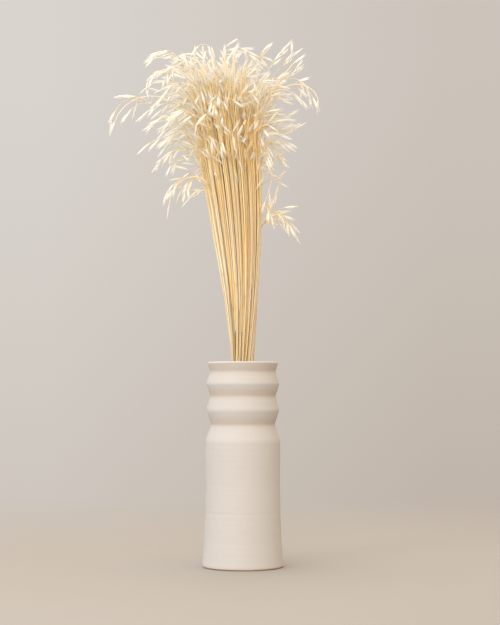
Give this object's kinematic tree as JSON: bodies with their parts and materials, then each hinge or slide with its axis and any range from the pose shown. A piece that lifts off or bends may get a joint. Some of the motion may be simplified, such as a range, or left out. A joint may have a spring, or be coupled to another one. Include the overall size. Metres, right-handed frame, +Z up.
{
  "type": "vase of dried oats",
  "caption": "Tall turned ceramic vase with pinched grooves below its lip, holding an upright bunch of dried oat stems that flares into a loose head of nodding spikelets.",
  "frame": {"origin": "middle of the vase's foot, on the surface that it stands on", "axes": "+Z up along the vase's axis, -Y to the front as seen in the picture, +X to the right"},
  "size_m": [0.3134, 0.275, 0.7689],
  "materials": {
    "stoneware": "matt ivory stoneware with fine throwing lines",
    "straw": "dry straw, satin on the stems and papery on the spikelets",
    "twine": "rough natural twine"
  },
  "bodies": {
    "root": {"vase": "stoneware", "tie": "twine", "oat_stem_01": "straw", "oat_stem_02": "straw", "oat_stem_03": "straw", "oat_stem_04": "straw", "oat_stem_05": "straw", "oat_stem_06": "straw", "oat_stem_07": "straw", "oat_stem_08": "straw", "oat_stem_09": "straw", "oat_stem_10": "straw", "oat_stem_11": "straw", "oat_stem_12": "straw", "oat_stem_13": "straw", "oat_stem_14": "straw", "oat_stem_15": "straw", "oat_stem_16": "straw", "oat_stem_17": "straw", "oat_stem_18": "straw", "oat_stem_19": "straw", "oat_stem_20": "straw", "oat_stem_21": "straw", "oat_stem_22": "straw", "oat_stem_23": "straw", "oat_stem_24": "straw", "oat_stem_25": "straw", "oat_stem_26": "straw", "oat_stem_27": "straw", "oat_stem_28": "straw", "oat_stem_29": "straw", "oat_stem_30": "straw", "oat_stem_31": "straw", "oat_stem_32": "straw", "oat_stem_33": "straw", "oat_stem_34": "straw", "oat_stem_35": "straw", "oat_stem_36": "straw", "oat_stem_37": "straw", "oat_stem_38": "straw", "oat_stem_39": "straw", "oat_stem_40": "straw", "oat_stem_41": "straw", "oat_stem_42": "straw", "oat_stem_43": "straw", "oat_stem_44": "straw", "oat_stem_45": "straw", "oat_stem_46": "straw", "oat_stem_47": "straw", "oat_stem_48": "straw", "oat_stem_49": "straw", "oat_stem_50": "straw", "oat_stem_51": "straw", "oat_stem_52": "straw", "oat_stem_53": "straw", "oat_stem_54": "straw", "oat_stem_55": "straw", "oat_stem_56": "straw"}
  },
  "joints": []
}
